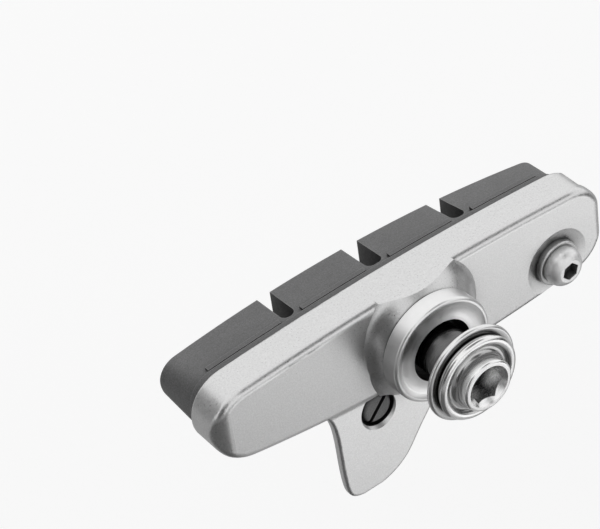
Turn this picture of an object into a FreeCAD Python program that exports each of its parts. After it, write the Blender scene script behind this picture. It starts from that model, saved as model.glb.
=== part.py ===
import os
import math
import FreeCAD
import Part

# Bicycle rim brake pad, right-hand shoe, millimetres.
# X runs along the shoe towards its open end, Y points at the rim, Z is up.
# The bolt lies on the Y axis. Y = 0 is the face that the caliper arm bears on.

# Bolt stack along Y
ARM_GAP = 4.35
SEAT_WASHER_T = 2.4
SEAT_WASHER_R = 6.6
SEAT_HOLE_R = 3.9
SEAT_HOLE_DEPTH = 0.12
SEAT_RIM_R = 6.1
SEAT_COVE_R = 5.2
SEAT_COVE_DEPTH = 0.3
SEAT_EDGE_R = 0.4
CLAMP_WASHER_T = 0.7
CLAMP_WASHER_R = 5.95
CUP_WASHER_T = 0.6
CUP_WASHER_R = 5.0
CUP_SEAT_R = 4.4
CUP_SEAT_DEPTH = 0.3
STACK_HOLE_R = 3.25

# Fixing bolt
SHANK_R = 3.0
FLANGE_R = 5.22
FLANGE_T = 0.65
HUB_R = 3.2
HUB_H = 1.55
CREST_R = 4.75
COVE_R = 3.85
COVE_DEPTH = 0.5
WAIST_R = 2.7
SOCKET_AF = 4.0
SOCKET_MOUTH_R = 2.62
SOCKET_DEPTH = 3.2
SOCKET_CHAMFER = 0.35
SOCKET_TURN = -8

# Holder outline in the XZ plane
TOP_R = 300.0
TOP_Z = 7.0
BOTTOM_R = 154.0
BOTTOM_Z = -6.45
BOTTOM_X = 6.0
CLOSED_X = -27.4
OPEN_X = 27.15
END_CORNER_R = 4.7
CLOSED_FOOT_R = 5.6

# Holder depth along Y
BOSS_T = 2.0
BACK_Y = SEAT_WASHER_T + BOSS_T
FLOOR_Y = BACK_Y + 1.6
RIM_Y = BACK_Y + 4.8
LIP = 0.95
BACK_EDGE_R = 0.9
CLOSED_BACK_R = 2.3
OPEN_BACK_R = 1.2
RIM_EDGE_R = 0.35
LIP_END_X = OPEN_X - 1.9

# Boss for the bolt
BOSS_TOP_R = 6.45
BOSS_FEET = ((0.55, 1.1, 7.85), (0.35, -0.4, 7.6), (0.2, -2.2, 7.25))
BOSS_FLANK = ((0.3, 0.27, 0.24), (0.65, 0.6, 0.5))

# Fin with the hole for the rubber lug; its outline in (x, z) runs round from the left
FIN_ROOT_Z = -4.6
FIN_ROOT_Y = BACK_Y + 0.42
FIN_ROOT_T = 1.3
FIN_TIP_Z = -17.8
FIN_TIP_Y = BACK_Y - 0.9
FIN_TIP_T = 1.1
FIN_EDGE_R = 0.36
FIN_BLEND_R = 0.85
FIN_LEFT = ((-13.4, FIN_ROOT_Z), (-12.6, -6.1), (-12.3, -8.5), (-12.45, -15.0))
FIN_FOOT = ((-11.85, -17.2), (-9.9, -17.85), (-7.0, -17.65), (-3.6, -15.95))
FIN_RIGHT = ((-1.8, -14.0), (0.2, -11.9), (3.0, -9.0), (6.75, -6.0))
LUG_X = -6.45
LUG_Z = -7.65
LUG_HOLE_R = 2.3
LUG_HOLE_CHAMFER = 0.1
LUG_GAP = 0.28
LUG_SUNK = 0.12
LUG_END_R = 0.55
LUG_HEAD_R = 0.9
LUG_HEAD_PROUD = 0.5
LUG_SLOT_W = 0.55
LUG_SLOT_DEPTH = 0.8
LUG_SLOT_TURN = 42
LUG_NECK_W = 2.4
LUG_NECK_TOP_Z = -3.0
LUG_NECK_DROP = 0.4
POCKET_R = 3.0
POCKET_WALL = 0.75
POCKET_FLOOR_Y = BACK_Y + 1.3

# Pad screw
SCREW_X = OPEN_X - 7.05
SCREW_Z = -2.2
DIMPLE_R = 4.3
DIMPLE_DEPTH = 0.6
RING_R = 2.85
RING_H = 0.45
RING_EDGE_R = 0.2
SCREW_R = 1.5
SCREW_HOLE_R = 1.6
SCREW_HEAD_R = 2.4
SCREW_HEAD_H = 1.9
SCREW_AF = 2.0
SCREW_SOCKET_DEPTH = 1.1
SCREW_BITE = 1.4
SCREW_TURN = 15

# Rubber insert
PAD_GAP = 0.12
PAD_FRONT_Y = RIM_Y + 7.1
PAD_BASE_H = 1.5
PAD_STEP = 0.25
FLANGE_FOOT_R = 3.1
FLANGE_END_X = OPEN_X - 0.95
FOOT_CORNERS = (3.3, 1.2)
FRONT_CORNERS = (2.6, 4.3)
FRONT_LEFT_X = CLOSED_X + 1.0
FRONT_RIGHT_X = OPEN_X
FRONT_TOP_R = 160.0
FRONT_TOP_Z = 5.2
FRONT_TOP_X = -4.3
FRONT_BOTTOM_Z = -3.3
FRONT_BOTTOM_R = 900.0
GROOVE_X = 0.2
GROOVE_PITCH = 12.0
GROOVE_W = (1.75, 2.2, 1.9)
GROOVE_FLOOR_Y = RIM_Y + 2.0
GROOVE_CORNER_R = 0.8
STRIP_LIFT = 0.15
STRIP_W = 0.65
STRIP_H = 0.2
STRIP_END = 0.6

# FAR is beyond the whole part; PAST is how far a cutter runs past the face it opens
V = FreeCAD.Vector
Y_AXIS = V(0, 1, 0)
FAR = 60.0
PAST = 1.0
SEGMENTS = 7


def cylinder(radius, y0, y1, x=0.0, z=0.0):
    return Part.makeCylinder(radius, y1 - y0, V(x, y0, z), Y_AXIS)


def box(x0, x1, y0, y1, z0, z1):
    return Part.makeBox(x1 - x0, y1 - y0, z1 - z0, V(x0, y0, z0))


def turned(points, x=0.0, z=0.0):
    """Solid of revolution about Y from (radius, y) points; a middle triple is an arc."""
    edges = []
    here = points[0]
    for step in points[1:] + [points[0]]:
        if len(step) == 4:
            mid = V(x + step[0], step[1], z)
            end = V(x + step[2], step[3], z)
            edges.append(Part.Arc(V(x + here[0], here[1], z), mid, end).toShape())
            here = (step[2], step[3])
        elif abs(step[0] - here[0]) + abs(step[1] - here[1]) > 1e-6:
            edges.append(Part.makeLine(V(x + here[0], here[1], z), V(x + step[0], step[1], z)))
            here = step
    face = Part.Face(Part.Wire(edges))
    return face.revolve(V(x, 0, z), Y_AXIS, 360)


def hexagon(across_flats, y0, y1, x=0.0, z=0.0, turn=0.0):
    corner = across_flats / 2 / math.cos(math.pi / 6)
    ring = []
    for i in range(7):
        a = math.radians(60 * i + turn)
        ring.append(V(x + corner * math.cos(a), y0, z + corner * math.sin(a)))
    return Part.Face(Part.makePolygon(ring)).extrude(V(0, y1 - y0, 0))


def top_z(x, inset=0.0):
    r = TOP_R - inset
    return TOP_Z - TOP_R + math.sqrt(r * r - x * x)


def bottom_z(x, inset=0.0):
    r = BOTTOM_R - inset
    return BOTTOM_Z + BOTTOM_R - math.sqrt(r * r - (x - BOTTOM_X) ** 2)


def four_sided_face(y, left, right, top, bottom):
    """Face at depth y between two straight ends; top and bottom give z for an x."""
    corners = [V(left, y, top(left)), V(right, y, top(right))]
    corners += [V(right, y, bottom(right)), V(left, y, bottom(left))]
    mid = (left + right) / 2
    edges = [
        Part.Arc(corners[0], V(mid, y, top(mid)), corners[1]).toShape(),
        Part.makeLine(corners[1], corners[2]),
        Part.Arc(corners[2], V(mid, y, bottom(mid)), corners[3]).toShape(),
        Part.makeLine(corners[3], corners[0]),
    ]
    return Part.Face(Part.Wire(edges))


def outline_face(y, shrink, left, right):
    return four_sided_face(y, left, right, lambda x: top_z(x, shrink), lambda x: bottom_z(x, shrink))


def edges_along_y(shape, x_low=-FAR, x_high=FAR):
    found = []
    for edge in shape.Edges:
        box_ = edge.BoundBox
        straight = box_.XLength < 1.5 and box_.ZLength < 1.5 and box_.YLength > 0.2
        if straight and x_low < box_.Center.x < x_high:
            found.append(edge)
    return found


def round_corners(solid, corner, foot_corner, rounded_to=FAR):
    """Fillet the edges along Y; the lower corner of the closed end has its own radius."""
    foot = [e for e in edges_along_y(solid, -FAR, 0) if e.BoundBox.Center.z < 0]
    solid = solid.makeFillet(foot_corner, foot)
    rest = [e for e in edges_along_y(solid, -FAR, rounded_to)
            if e.BoundBox.Center.z > 0 or e.BoundBox.Center.x > 0]
    return solid.makeFillet(corner, rest)


def prism(y0, y1, inset, left, right, rounded_to=FAR, foot_r=CLOSED_FOOT_R):
    """Slab of the channel's outline, drawn in by inset; all radii follow it."""
    solid = outline_face(y0, inset, left, right).extrude(V(0, y1 - y0, 0))
    return round_corners(solid, END_CORNER_R - inset, foot_r - inset, rounded_to)


def edges_at_y(shape, y):
    found = []
    for edge in shape.Edges:
        box_ = edge.BoundBox
        if box_.YLength < 1e-4 and abs(box_.YMin - y) < 1e-4:
            found.append(edge)
    return found


def only_solid(shape):
    if len(shape.Solids) != 1:
        raise ValueError("expected one solid, found %d" % len(shape.Solids))
    return shape.Solids[0]


def one_solid(shape):
    return only_solid(shape.removeSplitter())


def fin_back_y(z):
    """Depth of the fin's outer face at height z."""
    return FIN_ROOT_Y + (FIN_TIP_Y - FIN_ROOT_Y) * (FIN_ROOT_Z - z) / (FIN_ROOT_Z - FIN_TIP_Z)


def fin_plate():
    """Leaning, tapering plate: its outline run through a wedge."""
    points = [V(a, 0, b) for a, b in FIN_LEFT + FIN_FOOT + FIN_RIGHT]
    curve = Part.BSplineCurve()
    curve.interpolate(points)
    corner = V(points[-1].x, 0, FIN_ROOT_Z)
    edges = [
        curve.toShape(),
        Part.makeLine(points[-1], corner),
        Part.makeLine(corner, points[0]),
    ]
    outline = Part.Face(Part.Wire(edges)).extrude(V(0, RIM_Y, 0))
    wedge = Part.makePolygon([
        V(-FAR, FIN_ROOT_Y, FIN_ROOT_Z),
        V(-FAR, FIN_TIP_Y, FIN_TIP_Z),
        V(-FAR, FIN_TIP_Y + FIN_TIP_T, FIN_TIP_Z),
        V(-FAR, FIN_ROOT_Y + FIN_ROOT_T, FIN_ROOT_Z),
        V(-FAR, FIN_ROOT_Y, FIN_ROOT_Z),
    ])
    plate = outline.common(Part.Face(wedge).extrude(V(2 * FAR, 0, 0)))
    rim = [e for e in plate.Edges if e.BoundBox.ZMin < LUG_Z - LUG_HOLE_R]
    return plate.makeFillet(FIN_EDGE_R, rim)


def fin_seam(shape):
    """Edge where the fin's outer face leaves the rounded back of the channel."""
    found = []
    for edge in shape.Edges:
        b = edge.BoundBox
        inside = b.YMin > BACK_Y + 0.05 and b.YMax < BACK_Y + BACK_EDGE_R - 0.05
        if inside and b.XLength > POCKET_R and b.ZMax < FIN_ROOT_Z:
            found.append(edge)
    return found


def lug_mouth():
    """Cone that breaks the lower edge of the hole on the fin's leaning outer face."""
    inner_y = fin_back_y(LUG_Z) + LUG_HOLE_CHAMFER
    depth = PAST - LUG_HOLE_CHAMFER
    return Part.makeCone(LUG_HOLE_R + depth, LUG_HOLE_R, depth, V(LUG_X, inner_y - depth, LUG_Z), Y_AXIS)


def lug_socket():
    """Stepped space round the rubber lug: the round hole, the pocket and the neck's notch."""
    hole = cylinder(LUG_HOLE_R, 0, FLOOR_Y, LUG_X, LUG_Z).fuse(lug_mouth())
    pocket = cylinder(POCKET_R, POCKET_FLOOR_Y, FAR, LUG_X, LUG_Z)
    wall = box(-FAR, FAR, 0, FLOOR_Y, bottom_z(LUG_X) + PAD_GAP, FAR)
    neck = LUG_NECK_W / 2 + LUG_GAP
    notch = box(LUG_X - neck, LUG_X + neck, FLOOR_Y, FAR, LUG_Z, LUG_NECK_TOP_Z)
    return hole.fuse(pocket).cut(wall).fuse(notch)


def boss_flare():
    """Concave flank from the round seat to a foot of larger circles, one below the other."""
    flare = cylinder(BOSS_TOP_R, SEAT_WASHER_T, BACK_Y + BACK_EDGE_R)
    for foot_x, foot_z, foot_r in BOSS_FEET:
        rings = [Part.makeCircle(BOSS_TOP_R, V(0, SEAT_WASHER_T, 0), Y_AXIS)]
        for depth, shift, growth in BOSS_FLANK + ((1.0, 1.0, 1.0),):
            y = SEAT_WASHER_T + depth * BOSS_T
            radius = BOSS_TOP_R + growth * (foot_r - BOSS_TOP_R)
            rings.append(Part.makeCircle(radius, V(shift * foot_x, y, shift * foot_z), Y_AXIS))
        flank = Part.makeLoft([Part.Wire([r]) for r in rings], True, False)
        foot = cylinder(foot_r, BACK_Y, BACK_Y + BACK_EDGE_R, foot_x, foot_z)
        flare = flare.fuse(flank).fuse(foot)
    return flare


def round_ended_block():
    """Block as long as the channel, with its back rounded towards both ends."""
    block = box(CLOSED_X, OPEN_X, BACK_Y, FAR, -FAR, FAR)
    for x, radius in ((CLOSED_X, CLOSED_BACK_R), (OPEN_X, OPEN_BACK_R)):
        upright = [e for e in block.Edges if e.BoundBox.ZLength > FAR
                   and abs(e.BoundBox.XMin - x) < 0.01 and e.BoundBox.YMax < RIM_Y]
        block = block.makeFillet(radius, upright)
    return block


def back_rim(shape):
    """Edges round the back of the channel, without the seams that are smooth already."""
    found = []
    for edge in shape.Edges:
        b = edge.BoundBox
        seam = b.XLength < 1e-4 or (b.XLength < 1e-3 and b.ZLength < 1e-3)
        if b.YMax < RIM_Y - 1 and not seam:
            found.append(edge)
    return found


def in_short_lengths(solid):
    """The same solid with its long curved faces divided, so that they mesh evenly."""
    step = (OPEN_X - CLOSED_X) / SEGMENTS
    pieces = []
    for i in range(SEGMENTS):
        start = -FAR if i == 0 else CLOSED_X + i * step
        end = FAR if i == SEGMENTS - 1 else CLOSED_X + (i + 1) * step
        pieces.append(solid.common(box(start, end, 0, FAR, -FAR, FAR)))
    return pieces[0].multiFuse(pieces[1:])


def make_holder():
    body = prism(BACK_Y, RIM_Y, 0.0, CLOSED_X, OPEN_X)
    body = body.common(round_ended_block())
    body = body.makeFillet(BACK_EDGE_R, back_rim(body))
    body = body.makeFillet(RIM_EDGE_R, edges_at_y(body, RIM_Y))
    body = body.fuse(fin_plate())
    body = in_short_lengths(body.makeFillet(FIN_BLEND_R, fin_seam(body)))

    sleeve = prism(SEAT_WASHER_T - PAST, RIM_Y, 0.0, CLOSED_X, OPEN_X)
    holder = body.fuse(boss_flare().common(sleeve))

    ring_r = POCKET_R + POCKET_WALL
    holder = holder.fuse(cylinder(ring_r, POCKET_FLOOR_Y - POCKET_WALL, RIM_Y, LUG_X, LUG_Z))

    cavity = prism(FLOOR_Y, FAR, LIP, CLOSED_X + LIP, OPEN_X + PAST, 0)
    holder = holder.cut(cavity)
    holder = holder.cut(box(LIP_END_X, OPEN_X + PAST, FLOOR_Y, FAR, -FAR, FAR))
    holder = holder.cut(lug_socket())

    ball_r = (DIMPLE_R ** 2 + DIMPLE_DEPTH ** 2) / (2 * DIMPLE_DEPTH)
    ball = Part.makeSphere(ball_r, V(SCREW_X, BACK_Y + DIMPLE_DEPTH - ball_r, SCREW_Z))
    holder = holder.cut(ball.common(cylinder(DIMPLE_R + PAST, 0, FLOOR_Y, SCREW_X, SCREW_Z)))
    ring = cylinder(RING_R, BACK_Y - RING_H, FLOOR_Y, SCREW_X, SCREW_Z)
    ring = ring.makeFillet(RING_EDGE_R, edges_at_y(ring, BACK_Y - RING_H))
    holder = holder.fuse(ring)
    holder = holder.cut(cylinder(SCREW_HOLE_R, 0, RIM_Y, SCREW_X, SCREW_Z))
    holder = holder.cut(cylinder(SHANK_R, 0, RIM_Y))
    return only_solid(holder)


def rounded_outline(face, corners):
    """Outer wire of a thin four-sided slab with its corners rounded."""
    y = face.BoundBox.YMin
    slab = round_corners(face.extrude(V(0, PAST, 0)), corners[0], corners[1])
    return [f for f in slab.Faces if f.BoundBox.YMax < y + 1e-4][0].OuterWire


def front_top_z(x):
    return FRONT_TOP_Z - FRONT_TOP_R + math.sqrt(FRONT_TOP_R ** 2 - (x - FRONT_TOP_X) ** 2)


def front_bottom_z(x):
    return FRONT_BOTTOM_Z + FRONT_BOTTOM_R - math.sqrt(FRONT_BOTTOM_R ** 2 - x ** 2)


def pad_blocks(y0, inset):
    """One long block from the base outline to the front outline, cut by the grooves."""
    foot = outline_face(y0, inset, CLOSED_X + inset, FLANGE_END_X - PAD_STEP)
    front = four_sided_face(PAD_FRONT_Y, FRONT_LEFT_X, FRONT_RIGHT_X, front_top_z, front_bottom_z)
    wires = [rounded_outline(foot, FOOT_CORNERS), rounded_outline(front, FRONT_CORNERS)]
    blocks = Part.makeLoft(wires, True, True)
    for x0, x1 in grooves():
        cutter = box(x0, x1, GROOVE_FLOOR_Y, FAR, -FAR, FAR)
        floor = [e for e in cutter.Edges if e.BoundBox.YMax < GROOVE_FLOOR_Y + 1e-3
                 and e.BoundBox.ZLength > FAR]
        blocks = blocks.cut(cutter.makeFillet(GROOVE_CORNER_R, floor))
    return blocks


def grooves():
    spans = []
    for i, width in enumerate(GROOVE_W):
        x = GROOVE_X + (i - 1) * GROOVE_PITCH
        spans.append((x - width / 2, x + width / 2))
    return spans


def side_strips(y0, inset):
    """Low moulded strips along the foot of every block, above and below."""
    strip = prism(y0, y0 + STRIP_W, inset, CLOSED_X + inset, FRONT_RIGHT_X)
    corner = FRONT_CORNERS[0]
    starts = [FRONT_LEFT_X + corner] + [x1 for x0, x1 in grooves()]
    ends = [x0 for x0, x1 in grooves()] + [FLANGE_END_X - corner]
    pieces = []
    for start, end in zip(starts, ends):
        pieces.append(strip.common(box(start + STRIP_END, end - STRIP_END, 0, FAR, -FAR, FAR)))
    return pieces[0].multiFuse(pieces[1:])


def make_lug():
    back_y = fin_back_y(LUG_Z) + LUG_SUNK
    front_y = RIM_Y + LUG_HEAD_PROUD
    stem = cylinder(LUG_HOLE_R - LUG_GAP, back_y, RIM_Y, LUG_X, LUG_Z)
    stem = stem.makeFillet(LUG_END_R, edges_at_y(stem, back_y))
    slot = box(-LUG_SLOT_W / 2, LUG_SLOT_W / 2, 0, back_y + LUG_SLOT_DEPTH, -POCKET_R, POCKET_R)
    slot.rotate(V(0, 0, 0), Y_AXIS, LUG_SLOT_TURN)
    slot.translate(V(LUG_X, 0, LUG_Z))
    head = cylinder(POCKET_R - LUG_GAP, POCKET_FLOOR_Y + PAD_GAP, front_y, LUG_X, LUG_Z)
    head = head.makeFillet(LUG_HEAD_R, edges_at_y(head, front_y))
    neck = box(LUG_X - LUG_NECK_W / 2, LUG_X + LUG_NECK_W / 2,
               FLOOR_Y + PAD_GAP, RIM_Y - LUG_NECK_DROP, LUG_Z, LUG_NECK_TOP_Z)
    below_wall = box(-FAR, FAR, 0, FLOOR_Y + PAD_GAP, bottom_z(LUG_X), FAR)
    return stem.cut(slot).fuse(head).cut(below_wall).fuse(neck)


def make_pad():
    fit = LIP + PAD_GAP
    base_y = FLOOR_Y + PAD_GAP
    base_top = RIM_Y + PAD_BASE_H
    lap_y = RIM_Y + PAD_GAP
    pad = prism(base_y, lap_y, fit, CLOSED_X + fit, OPEN_X - PAD_GAP)
    pad = pad.fuse(prism(lap_y, base_top, fit, CLOSED_X + fit, FLANGE_END_X, foot_r=FLANGE_FOOT_R))
    pad = pad.fuse(pad_blocks(base_top - PAD_STEP, fit + PAD_STEP))
    pad = pad.fuse(side_strips(base_top + STRIP_LIFT, fit + PAD_STEP - STRIP_H))
    pad = pad.fuse(make_lug())
    tip = cylinder(SCREW_HOLE_R, 0, FLOOR_Y + SCREW_BITE + PAD_GAP, SCREW_X, SCREW_Z)
    return one_solid(pad.cut(tip))


def make_seat_washer():
    """Washer whose arm side is a raised rim round a shallow cove."""
    return turned([
        (SEAT_HOLE_R, SEAT_HOLE_DEPTH),
        (SEAT_COVE_R, SEAT_COVE_DEPTH, SEAT_RIM_R, 0.0),
        (SEAT_WASHER_R - SEAT_EDGE_R, 0.0),
        (SEAT_WASHER_R - SEAT_EDGE_R * 0.3, SEAT_EDGE_R * 0.3, SEAT_WASHER_R, SEAT_EDGE_R),
        (SEAT_WASHER_R, SEAT_WASHER_T - 0.2),
        (SEAT_WASHER_R - 0.2, SEAT_WASHER_T),
        (SEAT_HOLE_R, SEAT_WASHER_T),
    ])


def make_clamp_washer():
    y0 = -ARM_GAP - CLAMP_WASHER_T
    y1 = -ARM_GAP
    edge = CLAMP_WASHER_T / 2
    return turned([
        (STACK_HOLE_R, y0),
        (CLAMP_WASHER_R - edge, y0),
        (CLAMP_WASHER_R, y0 + edge, CLAMP_WASHER_R - edge, y1),
        (STACK_HOLE_R, y1),
    ])


def make_cup_washer():
    y1 = -ARM_GAP - CLAMP_WASHER_T
    y0 = y1 - CUP_WASHER_T
    edge = 0.3
    return turned([
        (STACK_HOLE_R, y0 + CUP_SEAT_DEPTH),
        (CUP_SEAT_R, y0),
        (CUP_WASHER_R - edge, y0),
        (CUP_WASHER_R - edge * 0.3, y0 + edge * 0.3, CUP_WASHER_R, y0 + edge),
        (CUP_WASHER_R, y1 - edge),
        (CUP_WASHER_R - edge * 0.3, y1 - edge * 0.3, CUP_WASHER_R - edge, y1),
        (STACK_HOLE_R, y1),
    ])


def make_bolt():
    seat_y = -ARM_GAP - CLAMP_WASHER_T - CUP_WASHER_T
    rim_y = seat_y - FLANGE_T
    hub_y = rim_y - HUB_H
    floor_y = rim_y + COVE_DEPTH
    body = turned([
        (0.0, hub_y),
        (HUB_R - 0.3, hub_y),
        (HUB_R - 0.09, hub_y + 0.09, HUB_R, hub_y + 0.3),
        (HUB_R, floor_y - 0.7),
        (HUB_R + 0.18, floor_y - 0.2, COVE_R, floor_y),
        (COVE_R + 0.24, floor_y - 0.12, COVE_R + 0.4, rim_y + 0.17),
        (CREST_R, rim_y, FLANGE_R, rim_y + 0.32),
        (FLANGE_R, seat_y - 0.15),
        (FLANGE_R - 0.15, seat_y),
        (CUP_SEAT_R, seat_y),
        (STACK_HOLE_R, seat_y + CUP_SEAT_DEPTH),
        (SHANK_R, seat_y + CUP_SEAT_DEPTH),
        (SHANK_R, -ARM_GAP + 0.15),
        (WAIST_R, -ARM_GAP + 0.45),
        (WAIST_R + 0.06, -ARM_GAP + 0.8, SHANK_R, -ARM_GAP + 1.4),
        (SHANK_R, FLOOR_Y - 0.8),
        (SHANK_R - 0.5, FLOOR_Y - 0.3),
        (0.0, FLOOR_Y - 0.3),
    ])
    socket = hexagon(SOCKET_AF, hub_y - PAST, hub_y + SOCKET_DEPTH, turn=SOCKET_TURN)
    mouth = Part.makeCone(SOCKET_MOUTH_R, SOCKET_AF / 2, SOCKET_CHAMFER * 1.8, V(0, hub_y, 0), Y_AXIS)
    return one_solid(body.cut(socket).cut(mouth))


def make_pad_screw():
    seat_y = BACK_Y - RING_H
    face_y = seat_y - SCREW_HEAD_H
    body = turned([
        (0.0, face_y),
        (1.45, face_y),
        (2.1, face_y + 0.45, SCREW_HEAD_R, seat_y - 0.35),
        (SCREW_HEAD_R, seat_y),
        (SCREW_R, seat_y),
        (SCREW_R, FLOOR_Y + SCREW_BITE - 0.3),
        (SCREW_R - 0.3, FLOOR_Y + SCREW_BITE),
        (0.0, FLOOR_Y + SCREW_BITE),
    ], SCREW_X, SCREW_Z)
    socket = hexagon(SCREW_AF, face_y - PAST, face_y + SCREW_SOCKET_DEPTH,
                     SCREW_X, SCREW_Z, SCREW_TURN)
    return one_solid(body.cut(socket))


NODES = {
    "shoe_holder": make_holder,
    "pad_insert": make_pad,
    "pad_screw": make_pad_screw,
    "seat_washer": make_seat_washer,
    "clamp_washer": make_clamp_washer,
    "cup_washer": make_cup_washer,
    "fixing_bolt": make_bolt,
}

os.makedirs("parts", exist_ok=True)
for name, make in NODES.items():
    shape = make()
    if not shape.isValid():
        raise ValueError(name + " is not a valid solid")
    b = shape.BoundBox
    print("%-14s volume %9.2f  x %.2f..%.2f  y %.2f..%.2f  z %.2f..%.2f" % (
        name, shape.Volume, b.XMin, b.XMax, b.YMin, b.YMax, b.ZMin, b.ZMax))
    shape.exportStep("parts/" + name + ".step")
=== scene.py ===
import bpy
from mathutils import Matrix, Vector

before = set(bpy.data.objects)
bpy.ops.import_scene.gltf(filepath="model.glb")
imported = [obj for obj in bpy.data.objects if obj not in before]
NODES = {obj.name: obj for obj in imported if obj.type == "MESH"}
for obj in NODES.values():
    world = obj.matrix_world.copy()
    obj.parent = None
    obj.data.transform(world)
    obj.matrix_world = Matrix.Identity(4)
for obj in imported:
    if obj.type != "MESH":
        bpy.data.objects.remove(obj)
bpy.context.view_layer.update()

# Lengths are in metres and lamp powers in watts. Tones go from 0, black, to 1, white.


# Helpers for nodes

# Numbers of the colour mix node's sockets, several of which share a name
MIX_SHARE = 0
MIX_UNDER = 6
MIX_OVER = 7
MIX_RESULT = 2


def grey(tone):
    return (tone, tone, tone)


def new_material(name):
    material = bpy.data.materials.new(name)
    material.use_nodes = True
    tree = material.node_tree
    shader = tree.nodes["Principled BSDF"]
    return material, tree, shader


def add(tree, kind, **settings):
    node = tree.nodes.new(kind)
    for key, value in settings.items():
        setattr(node, key, value)
    return node


def combine(tree, operation, first, second):
    """One number out of two: their product, the larger of them and so on."""
    node = add(tree, "ShaderNodeMath", operation=operation)
    tree.links.new(first, node.inputs[0])
    tree.links.new(second, node.inputs[1])
    return node.outputs["Value"]


def object_coords(tree):
    return add(tree, "ShaderNodeTexCoord").outputs["Object"]


def noise(tree, coords, scale, detail, rough):
    """Soft noise with about as many blotches to the metre as scale says."""
    node = add(tree, "ShaderNodeTexNoise")
    node.inputs["Scale"].default_value = scale
    node.inputs["Detail"].default_value = detail
    node.inputs["Roughness"].default_value = rough
    tree.links.new(coords, node.inputs["Vector"])
    return node.outputs["Fac"]


def spread(tree, value, low, high, from_low=0.3, from_high=0.7):
    """Maps from_low to low and from_high to high, and stops there on both sides.
    The stretch from 0.3 to 0.7 is where a noise mostly stays."""
    node = add(tree, "ShaderNodeMapRange")
    node.inputs["From Min"].default_value = from_low
    node.inputs["From Max"].default_value = from_high
    node.inputs["To Min"].default_value = low
    node.inputs["To Max"].default_value = high
    tree.links.new(value, node.inputs["Value"])
    return node.outputs["Result"]


def tint(tree, value, dark, light):
    """Colour from dark, where value is 0, to light, where it is 1."""
    ramp = add(tree, "ShaderNodeValToRGB")
    ramp.color_ramp.elements[0].color = (*dark, 1)
    ramp.color_ramp.elements[1].color = (*light, 1)
    tree.links.new(value, ramp.inputs["Fac"])
    return ramp.outputs["Color"]


def mixed(tree, share, under, over):
    """Colour that goes from under to over as share goes from 0 to 1."""
    node = add(tree, "ShaderNodeMix", data_type="RGBA")
    tree.links.new(share, node.inputs[MIX_SHARE])
    tree.links.new(under, node.inputs[MIX_UNDER])
    node.inputs[MIX_OVER].default_value = (*over, 1)
    return node.outputs[MIX_RESULT]


def bump(tree, height, distance, strength):
    node = add(tree, "ShaderNodeBump")
    node.inputs["Distance"].default_value = distance
    node.inputs["Strength"].default_value = strength
    tree.links.new(height, node.inputs["Height"])
    return node.outputs["Normal"]


def edge_wear(tree, width, breakup):
    """1 on an edge and 0 away from it, broken up by a noise.
    The rounded normal leaves the true one there, so their dot product falls below 1."""
    rounded = add(tree, "ShaderNodeBevel", samples=6)
    rounded.inputs["Radius"].default_value = width
    geometry = add(tree, "ShaderNodeNewGeometry")
    meet = add(tree, "ShaderNodeVectorMath", operation="DOT_PRODUCT")
    tree.links.new(rounded.outputs["Normal"], meet.inputs[0])
    tree.links.new(geometry.outputs["Normal"], meet.inputs[1])
    edge = spread(tree, meet.outputs["Value"], 1.0, 0.0, from_low=0.85, from_high=0.99)
    return combine(tree, "MULTIPLY", edge, breakup)


# Painted shade for grooves and corners, from an ambient occlusion mask
def painted_crevice_shade(tree, reach, deep_sky=0.4, free_sky=0.93):
    """Painted shade: 1 in a groove or a corner between pieces, where shade falls, and 0 in
    the open.
    What decides is how much of the sky nothing covers within reach: down to deep_sky
    gives 1 and free_sky or more gives 0."""
    sky = add(tree, "ShaderNodeAmbientOcclusion", samples=8)
    sky.inputs["Distance"].default_value = reach
    return spread(tree, sky.outputs["AO"], 1.0, 0.0, from_low=deep_sky, from_high=free_sky)


# Materials

def blasted_alloy():
    """Fine blasted and anodised casting: even, pale, with a very fine grain, and painted
    shade in its corners.
    """
    material, tree, shader = new_material("blasted_alloy")
    coords = object_coords(tree)
    grain = noise(tree, coords, scale=5200, detail=2.0, rough=0.55)
    cloud = noise(tree, coords, scale=160, detail=3.0, rough=0.5)
    body = tint(tree, grain, dark=grey(0.56), light=grey(0.86))
    worn = edge_wear(tree, width=0.0002, breakup=spread(tree, cloud, 0.0, 0.7))
    bright = mixed(tree, worn, under=body, over=grey(0.86))
    # Painted shade: the colour goes dark grey where grooves and corners hold shade
    painted_shade = painted_crevice_shade(tree, reach=0.004, free_sky=0.9)
    color = mixed(tree, painted_shade, under=bright, over=grey(0.16))
    relief = bump(tree, grain, distance=0.000008, strength=0.5)
    tree.links.new(color, shader.inputs["Base Color"])
    tree.links.new(spread(tree, grain, 0.27, 0.38), shader.inputs["Roughness"])
    tree.links.new(relief, shader.inputs["Normal"])
    shader.inputs["Metallic"].default_value = 0.97
    return material


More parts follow.
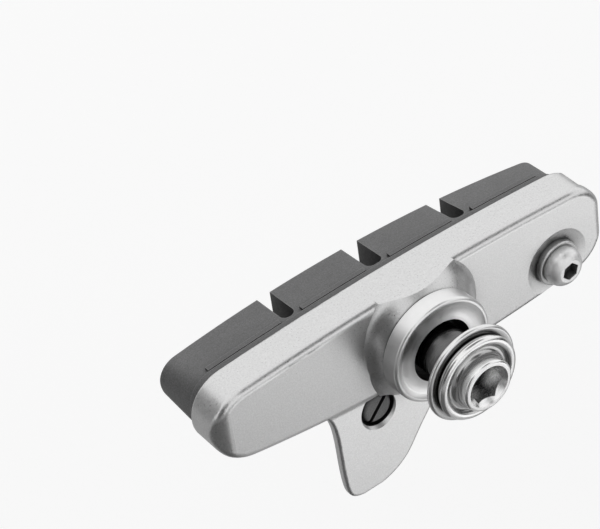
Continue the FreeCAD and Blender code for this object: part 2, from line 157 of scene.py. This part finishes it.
def moulded_rubber():
    """Dark brake rubber with a dusty, matt moulded skin and pale edges, and painted shade in
    its grooves and where it meets the holder.
    """
    material, tree, shader = new_material("moulded_rubber")
    coords = object_coords(tree)
    skin = noise(tree, coords, scale=3600, detail=4.0, rough=0.65)
    cloud = noise(tree, coords, scale=220, detail=4.0, rough=0.6)
    speck = noise(tree, coords, scale=6500, detail=3.0, rough=0.7)
    even = spread(tree, cloud, 0.7, 1.0)
    dust = combine(tree, "MULTIPLY", even, spread(tree, speck, 0.3, 1.0))
    body = tint(tree, dust, dark=(0.055, 0.055, 0.056), light=(0.25, 0.25, 0.252))
    worn = edge_wear(tree, width=0.00025, breakup=spread(tree, skin, 0.1, 0.8))
    pale = mixed(tree, worn, under=body, over=grey(0.4))
    # Painted shade: nearly black in the grooves and along the holder's lip, where shade
    # falls
    painted_shade = painted_crevice_shade(tree, reach=0.005, deep_sky=0.55, free_sky=0.96)
    color = mixed(tree, painted_shade, under=pale, over=grey(0.012))
    relief = bump(tree, skin, distance=0.00004, strength=0.4)
    tree.links.new(color, shader.inputs["Base Color"])
    tree.links.new(spread(tree, skin, 0.42, 0.58), shader.inputs["Roughness"])
    tree.links.new(relief, shader.inputs["Normal"])
    shader.inputs["Specular IOR Level"].default_value = 0.8
    return material


# Values that all turned steel shares; the last three are shares of a finish's own value
SHANK_TONE = 0.2
SHANK_FADE = 0.0003
# Painted shade in the corners between steel pieces: its tone and the reach of its mask
PAINTED_SHADE_TONE = 0.12
PAINTED_SHADE_REACH = 0.0017
SMEAR_TONE = 0.9
SMOOTHEST = 0.8
ROUGHEST = 1.3


def turned_steel(name, tone, roughness, rings_per_metre, relief, shank_from=None):
    """Steel that was turned about the bolt's axis, Y: fine rings in roughness and bump, and
    painted shade in its corners.
    From shank_from on, along Y, its colour fades to a dark grey."""
    material, tree, shader = new_material(name)
    coords = object_coords(tree)
    split = add(tree, "ShaderNodeSeparateXYZ")
    tree.links.new(coords, split.inputs["Vector"])
    across = add(tree, "ShaderNodeCombineXYZ")
    tree.links.new(split.outputs["X"], across.inputs["X"])
    tree.links.new(split.outputs["Z"], across.inputs["Y"])
    radius = add(tree, "ShaderNodeVectorMath", operation="LENGTH")
    tree.links.new(across.outputs["Vector"], radius.inputs[0])
    around = add(tree, "ShaderNodeCombineXYZ")
    tree.links.new(radius.outputs["Value"], around.inputs["X"])
    tree.links.new(split.outputs["Y"], around.inputs["Y"])
    rings = noise(tree, around.outputs["Vector"], rings_per_metre, detail=3.0, rough=0.7)
    smear = noise(tree, coords, scale=900, detail=3.0, rough=0.5)
    color = tint(tree, smear, dark=grey(tone * SMEAR_TONE), light=grey(tone))
    if shank_from is not None:
        along = split.outputs["Y"]
        on_shank = spread(tree, along, 0.0, 1.0, shank_from, shank_from + SHANK_FADE)
        color = mixed(tree, on_shank, under=color, over=grey(SHANK_TONE))
    # Painted shade: dark grey in the recesses and corners between the bolt's pieces
    painted_shade = painted_crevice_shade(tree, PAINTED_SHADE_REACH)
    color = mixed(tree, painted_shade, under=color, over=grey(PAINTED_SHADE_TONE))
    ring_roughness = spread(tree, rings, roughness * SMOOTHEST, roughness * ROUGHEST)
    ring_relief = bump(tree, rings, relief, strength=0.4)
    tree.links.new(color, shader.inputs["Base Color"])
    tree.links.new(ring_roughness, shader.inputs["Roughness"])
    tree.links.new(ring_relief, shader.inputs["Normal"])
    shader.inputs["Metallic"].default_value = 1.0
    return material


def far_side_y(name):
    """The largest Y that the named piece reaches, toward the rim."""
    node = NODES[name]
    return max((node.matrix_world @ Vector(corner)).y for corner in node.bound_box)


def give(material, *names):
    for name in names:
        slots = NODES[name].data.materials
        if len(slots) == 0:
            slots.append(material)
        for i in range(len(slots)):
            slots[i] = material


satin = turned_steel("satin_steel", 0.9, 0.34, rings_per_metre=5000, relief=0.000003)
bright = turned_steel("bright_steel", 0.9, 0.27, rings_per_metre=4000, relief=0.000001)
polished = turned_steel(
    "polished_steel", 0.95, 0.24, rings_per_metre=3000, relief=0.0000002,
    shank_from=far_side_y("clamp_washer"))
screw_finish = turned_steel("screw_steel", 0.92, 0.46, rings_per_metre=3000, relief=0.000001)

give(blasted_alloy(), "shoe_holder")
give(moulded_rubber(), "pad_insert")
give(satin, "seat_washer")
give(bright, "clamp_washer", "cup_washer")
give(polished, "fixing_bolt")
give(screw_finish, "pad_screw")


# Backdrop

def background(tree, strength):
    node = add(tree, "ShaderNodeBackground")
    node.inputs["Color"].default_value = (1, 1, 1, 1)
    node.inputs["Strength"].default_value = strength
    return node.outputs["Background"]


def white_backdrop_world(room_light):
    """White to the camera, to mirrors and through glass, and a dim room to all else."""
    world = bpy.data.worlds.new("studio")
    bpy.context.scene.world = world
    world.use_nodes = True
    tree = world.node_tree
    tree.nodes.clear()
    path = add(tree, "ShaderNodeLightPath").outputs
    seen = combine(tree, "MAXIMUM", path["Is Camera Ray"], path["Is Transmission Ray"])
    seen = combine(tree, "MAXIMUM", seen, path["Is Glossy Ray"])
    chosen = add(tree, "ShaderNodeMixShader")
    tree.links.new(seen, chosen.inputs["Fac"])
    tree.links.new(background(tree, room_light), chosen.inputs[1])
    tree.links.new(background(tree, 1.0), chosen.inputs[2])
    output = add(tree, "ShaderNodeOutputWorld")
    tree.links.new(chosen.outputs["Shader"], output.inputs["Surface"])


# Floor, lamps and cards

FLOOR_Z = -0.12
FLOOR_SIZE = 8.0
CARD_LEVEL = -0.09
MIDDLE = (0.0, 0.004, 0.0)


def aim(thing, place, target):
    """Puts a lamp or card at place and turns its face to target."""
    thing.location = place
    sight = Vector(target) - Vector(place)
    thing.rotation_euler = sight.to_track_quat("-Z", "Y").to_euler()


def flat_sheet(name, width, height):
    """A rectangle that lies flat about the origin."""
    x = width / 2
    y = height / 2
    mesh = bpy.data.meshes.new(name)
    mesh.from_pydata([(-x, -y, 0), (x, -y, 0), (x, y, 0), (-x, y, 0)], [], [(0, 1, 2, 3)])
    sheet = bpy.data.objects.new(name, mesh)
    bpy.context.scene.collection.objects.link(sheet)
    return sheet


def pale_floor():
    """A pale floor that gives off some light of its own to the camera, so that it reads
    as white from every side and still takes the shadow."""
    floor = flat_sheet("floor", FLOOR_SIZE, FLOOR_SIZE)
    floor.location.z = FLOOR_Z
    material, tree, shader = new_material("pale_floor")
    seen = add(tree, "ShaderNodeLightPath").outputs["Is Camera Ray"]
    pale = spread(tree, seen, 0.9, 0.25, from_low=0.0, from_high=1.0)
    tree.links.new(pale, shader.inputs["Base Color"])
    tree.links.new(seen, shader.inputs["Emission Strength"])
    shader.inputs["Emission Color"].default_value = (0.8, 0.8, 0.8, 1)
    shader.inputs["Roughness"].default_value = 0.8
    floor.data.materials.append(material)


def soft_box(name, place, width, height, power, mirrored=True):
    light = bpy.data.lights.new(name, "AREA")
    light.shape = "RECTANGLE"
    light.size = width
    light.size_y = height
    light.energy = power
    lamp = bpy.data.objects.new(name, light)
    bpy.context.scene.collection.objects.link(lamp)
    lamp.visible_glossy = mirrored
    aim(lamp, place, MIDDLE)


def card(name, place, target, width, height, tone):
    """A flat card beside the object, seen only in what the metal mirrors."""
    sheet = flat_sheet(name, width, height)
    aim(sheet, place, target)
    material, _, shader = new_material(name)
    shader.inputs["Base Color"].default_value = (*grey(tone), 1)
    shader.inputs["Roughness"].default_value = 0.9
    sheet.data.materials.append(material)
    sheet.visible_camera = False
    sheet.visible_diffuse = False
    sheet.visible_shadow = False


pale_floor()
white_backdrop_world(room_light=0.12)

# Two large lamps light without showing in the metal, and a small low one shows in it
soft_box("key_behind", (0.02, 0.35, 0.5), 1.0, 0.8, power=2.2, mirrored=False)
soft_box("fill_front", (0.45, -0.8, 0.3), 0.9, 0.8, power=3.0, mirrored=False)
soft_box("fill_low", (0.075, -0.12, -0.112), 0.17, 0.15, power=0.064)

# Cards that lie over the floor and face straight up: name, x, y, width, depth, tone
for name, x, y, width, depth, tone in (
        ("card_below_behind", -0.17, 0.125, 0.32, 0.21, 0.8),
        ("card_below_front", -0.17, -0.07, 0.32, 0.18, 0.2),
        ("card_below_right", 0.07, 0.06, 0.08, 0.16, 0.2)):
    card(name, (x, y, CARD_LEVEL), (x, y, 0.0), width, depth, tone)

# Cards that face the object: name, place, width, height, tone
for name, place, width, height, tone in (
        ("card_left", (-0.29, -0.15, 0.14), 0.32, 0.34, 0.1),
        ("card_upper_front", (0.18, -0.22, 0.38), 0.34, 0.3, 0.3),
        ("card_left_behind", (-0.3, 0.26, 0.1), 0.3, 0.26, 0.5),
        ("card_right", (0.3, -0.16, -0.06), 0.22, 0.12, 0.02)):
    card(name, place, MIDDLE, width, height, tone)


# Camera, at the photograph's place

CAMERA_PLACE = Vector((-0.12427484, -0.17827386, 0.20109265))
CAMERA_RIGHT = Vector((0.79370312, -0.59703883, -0.11653325))
CAMERA_UP = Vector((0.46401859, 0.47035284, 0.75063636))
SENSOR_WIDTH_MM = 36.0
FOCAL_LENGTH_MM = 162.44
CLIP_NEAR = 0.01
CLIP_FAR = 20.0

camera_data = bpy.data.cameras.new("camera")
camera_data.sensor_width = SENSOR_WIDTH_MM
camera_data.lens = FOCAL_LENGTH_MM
camera_data.clip_start = CLIP_NEAR
camera_data.clip_end = CLIP_FAR
camera = bpy.data.objects.new("camera", camera_data)
bpy.context.scene.collection.objects.link(camera)
camera_back = CAMERA_RIGHT.cross(CAMERA_UP)
turn = Matrix((CAMERA_RIGHT, CAMERA_UP, camera_back)).transposed().to_4x4()
camera.matrix_world = Matrix.Translation(CAMERA_PLACE) @ turn
bpy.context.scene.camera = camera
bpy.context.scene.view_settings.view_transform = "Standard"
